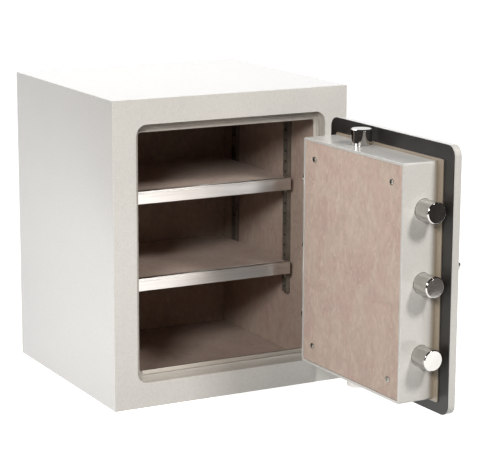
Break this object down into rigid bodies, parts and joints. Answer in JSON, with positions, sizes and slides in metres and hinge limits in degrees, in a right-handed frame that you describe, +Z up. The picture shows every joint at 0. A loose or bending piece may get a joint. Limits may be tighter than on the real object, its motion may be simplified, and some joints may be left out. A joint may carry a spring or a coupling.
{
  "type": "fire-resistant cabinet safe",
  "caption": "Small free-standing fire-resistant safe with a hinged bolt-work door, chrome locking bolts, suede lining and fixed shelves on slotted standards.",
  "frame": {"origin": "centre of the cabinet underside", "axes": "+Z up, -Y out of the front of the cabinet, +X to the hinge side"},
  "size_m": [0.415, 0.7452, 0.48],
  "materials": {
    "cream_enamel": "semi-gloss off-white enamel with a fine orange-peel texture",
    "taupe_suede": "brushed pinkish-taupe suede cloth bonded to board",
    "black_seal": "satin black intumescent seal sheet",
    "polished_chrome": "polished chrome plate",
    "brushed_trim": "brushed aluminium extrusion",
    "dark_steel": "dark bronze painted steel",
    "zinc_steel": "zinc-plated steel",
    "cement_fill": "cast insulating fill",
    "lock_case": "cast lock case",
    "dial_black": "satin black dial"
  },
  "bodies": {
    "cabinet": {"outer_shell": "cream_enamel", "back_cover": "cream_enamel", "jamb_frame": "cream_enamel", "fire_barrier": "cement_fill", "inner_liner": "zinc_steel", "lining_left": "taupe_suede", "lining_right": "taupe_suede", "lining_back": "taupe_suede", "lining_floor": "taupe_suede", "lining_ceiling": "taupe_suede", "sill_trim": "brushed_trim", "standard_left_front": "dark_steel", "standard_left_rear": "dark_steel", "standard_right_front": "dark_steel", "standard_right_rear": "dark_steel", "clip_lower_left_front": "zinc_steel", "clip_lower_left_rear": "zinc_steel", "clip_lower_right_front": "zinc_steel", "clip_lower_right_rear": "zinc_steel", "clip_upper_left_front": "zinc_steel", "clip_upper_left_rear": "zinc_steel", "clip_upper_right_front": "zinc_steel", "clip_upper_right_rear": "zinc_steel", "shelf_lower": "taupe_suede", "shelf_upper": "taupe_suede", "shelf_trim_lower": "brushed_trim", "shelf_trim_upper": "brushed_trim", "frame_knuckle_lower": "cream_enamel", "frame_knuckle_upper": "cream_enamel", "hinge_pin_lower": "zinc_steel", "hinge_pin_upper": "zinc_steel"},
    "door": {"door_plate": "cream_enamel", "door_barrier": "cement_fill", "door_seal": "black_seal", "bolt_box": "cream_enamel", "back_panel": "taupe_suede", "panel_screw_1": "zinc_steel", "panel_screw_2": "zinc_steel", "panel_screw_3": "zinc_steel", "panel_screw_4": "zinc_steel", "hinge_dog_lower": "polished_chrome", "hinge_dog_middle": "polished_chrome", "hinge_dog_upper": "polished_chrome", "lock_body": "lock_case", "handle_plate": "polished_chrome", "dial_ring": "polished_chrome", "door_knuckle_lower": "cream_enamel", "door_knuckle_upper": "cream_enamel"},
    "handle": {"lever_handle": "polished_chrome", "handle_spindle": "zinc_steel", "cam_disc": "zinc_steel"},
    "bolt_carriage": {"bolt_bar": "zinc_steel", "side_bolt_lower": "polished_chrome", "side_bolt_middle": "polished_chrome", "side_bolt_upper": "polished_chrome"},
    "top_bolt": {"top_bolt": "polished_chrome"},
    "bottom_bolt": {"bottom_bolt": "polished_chrome"},
    "dial": {"dial": "dial_black", "dial_spindle": "zinc_steel"}
  },
  "joints": [
    {"name": "door_swing", "type": "hinge", "parent": "cabinet", "child": "door", "pos_m": [0.1826, -0.2084, 0.24], "axis": [0, 0, 1], "range_deg": [-91.5, 88.5]},
    {"name": "handle_turn", "type": "hinge", "parent": "door", "child": "handle", "pos_m": [0.17052, -0.41189, 0.25], "axis": [0.9997, 0.0262, 0], "range_deg": [0, 60]},
    {"name": "side_bolts_slide", "type": "slide", "parent": "door", "child": "bolt_carriage", "axis": [-0.0262, 0.9997, 0], "range_m": [0, 0.024]},
    {"name": "top_bolt_slide", "type": "slide", "parent": "door", "child": "top_bolt", "axis": [0, 0, -1], "range_m": [0, 0.0195]},
    {"name": "bottom_bolt_slide", "type": "slide", "parent": "door", "child": "bottom_bolt", "axis": [0, 0, 1], "range_m": [0, 0.0195]},
    {"name": "dial_turn", "type": "hinge", "parent": "door", "child": "dial", "pos_m": [0.1675, -0.29642, 0.25], "axis": [0.9997, 0.0262, 0], "continuous": true}
  ],
  "couplings": [
    {"joint": "side_bolts_slide", "follows": "handle_turn", "m_per_rad": 0.022917},
    {"joint": "top_bolt_slide", "follows": "handle_turn", "m_per_rad": 0.01862},
    {"joint": "bottom_bolt_slide", "follows": "handle_turn", "m_per_rad": 0.01862}
  ]
}
